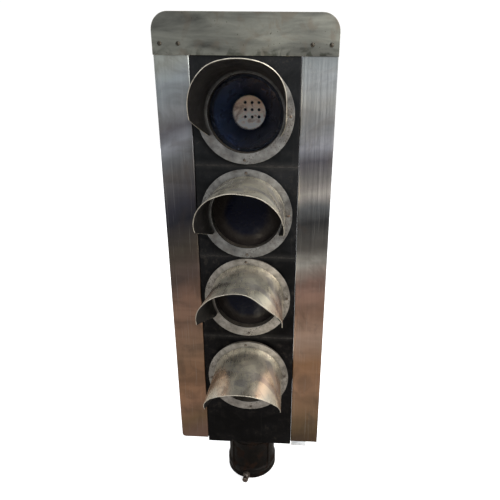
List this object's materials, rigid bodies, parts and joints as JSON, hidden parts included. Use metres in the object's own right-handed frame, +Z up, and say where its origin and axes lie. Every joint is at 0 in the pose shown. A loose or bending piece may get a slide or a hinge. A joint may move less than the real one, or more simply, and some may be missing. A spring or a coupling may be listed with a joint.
{
  "type": "traffic signal head",
  "caption": "Vertical traffic signal head with round hooded lamps, bare-metal backboard, black casing with hinged rear door, and a cast pole-top socket that swivels",
  "frame": {"origin": "centre of the flat seat inside the pole socket, where the top of the pole stops", "axes": "+Z up along the pole, front of the lamps towards -Y, +X to the right seen from the front"},
  "size_m": [0.485, 0.447, 1.5524],
  "materials": {
    "cast_socket": "dark cast iron with rust",
    "steel_parts": "zinc-plated steel, dulled",
    "casing_black": "satin black paint, worn",
    "bezel_black": "satin black paint",
    "backboard_sheet": "bare sheet, brushed and weathered",
    "visor_sheet": "bare sheet, smudged",
    "bright_angle": "bare extruded angle",
    "black_rubber": "matt rubber",
    "lens_glass": "dark blue tinted glass",
    "reflector_metal": "spun bowl, polished inside",
    "lamp_ceramic": "cream porcelain, unglazed",
    "module_plastic": "black moulding",
    "grey_plastic": "grey moulding"
  },
  "bodies": {
    "pole_socket": {"pole_socket": "cast_socket", "clamp_locknut": "steel_parts", "swivel_washer": "steel_parts", "swivel_nut": "steel_parts"},
    "clamp_bolt": {"clamp_bolt": "steel_parts"},
    "head": {"backboard_cap": "backboard_sheet", "backboard_wing_left": "backboard_sheet", "backboard_wing_right": "backboard_sheet", "base_flange": "cast_socket", "cable_gland": "grey_plastic", "cap_rivet_1": "steel_parts", "cap_rivet_2": "steel_parts", "cap_rivet_3": "steel_parts", "cap_rivet_4": "steel_parts", "casing_shell": "casing_black", "door_gasket": "black_rubber", "foot_bracket": "bright_angle", "gland_nut": "grey_plastic", "hinge_bracket_lower": "steel_parts", "hinge_bracket_upper": "steel_parts", "hinge_pin_lower": "steel_parts", "hinge_pin_upper": "steel_parts", "lamp_module_1": "module_plastic", "lamp_module_2": "module_plastic", "lamp_module_3": "module_plastic", "lamp_module_4": "module_plastic", "lamp_plate_1": "lamp_ceramic", "lamp_plate_2": "lamp_ceramic", "lamp_plate_3": "lamp_ceramic", "lamp_plate_4": "lamp_ceramic", "lens_1": "lens_glass", "lens_2": "lens_glass", "lens_3": "lens_glass", "lens_4": "lens_glass", "lens_bezel_1": "bezel_black", "lens_bezel_2": "bezel_black", "lens_bezel_3": "bezel_black", "lens_bezel_4": "bezel_black", "lens_gasket_1": "black_rubber", "lens_gasket_2": "black_rubber", "lens_gasket_3": "black_rubber", "lens_gasket_4": "black_rubber", "reflector_1": "reflector_metal", "reflector_2": "reflector_metal", "reflector_3": "reflector_metal", "reflector_4": "reflector_metal", "terminal_block": "grey_plastic", "visor_1": "visor_sheet", "visor_2": "visor_sheet", "visor_3": "visor_sheet", "visor_4": "visor_sheet"},
    "rear_door": {"rear_door": "casing_black"},
    "latch_upper": {"latch_cam_upper": "steel_parts", "latch_handle_upper": "steel_parts"},
    "latch_lower": {"latch_cam_lower": "steel_parts", "latch_handle_lower": "steel_parts"}
  },
  "joints": [
    {"name": "head_swivel", "type": "hinge", "parent": "pole_socket", "child": "head", "pos_m": [0, 0, 0.0348], "axis": [0, 0, 1], "range_deg": [-175, 175]},
    {"name": "clamp_turn", "type": "hinge", "parent": "pole_socket", "child": "clamp_bolt", "pos_m": [-0.01093, -0.089, -0.115], "axis": [-0.1219, -0.9925, 0], "continuous": true},
    {"name": "door_hinge", "type": "hinge", "parent": "head", "child": "rear_door", "pos_m": [0.156, 0.0971, 0.6803], "axis": [0, 0, -1], "range_deg": [0, 110]},
    {"name": "latch_upper_turn", "type": "hinge", "parent": "rear_door", "child": "latch_upper", "pos_m": [-0.113, 0.0989, 0.9958], "axis": [0, 1, 0], "range_deg": [0, 90]},
    {"name": "latch_lower_turn", "type": "hinge", "parent": "rear_door", "child": "latch_lower", "pos_m": [-0.113, 0.0989, 0.3648], "axis": [0, 1, 0], "range_deg": [0, 90]}
  ]
}
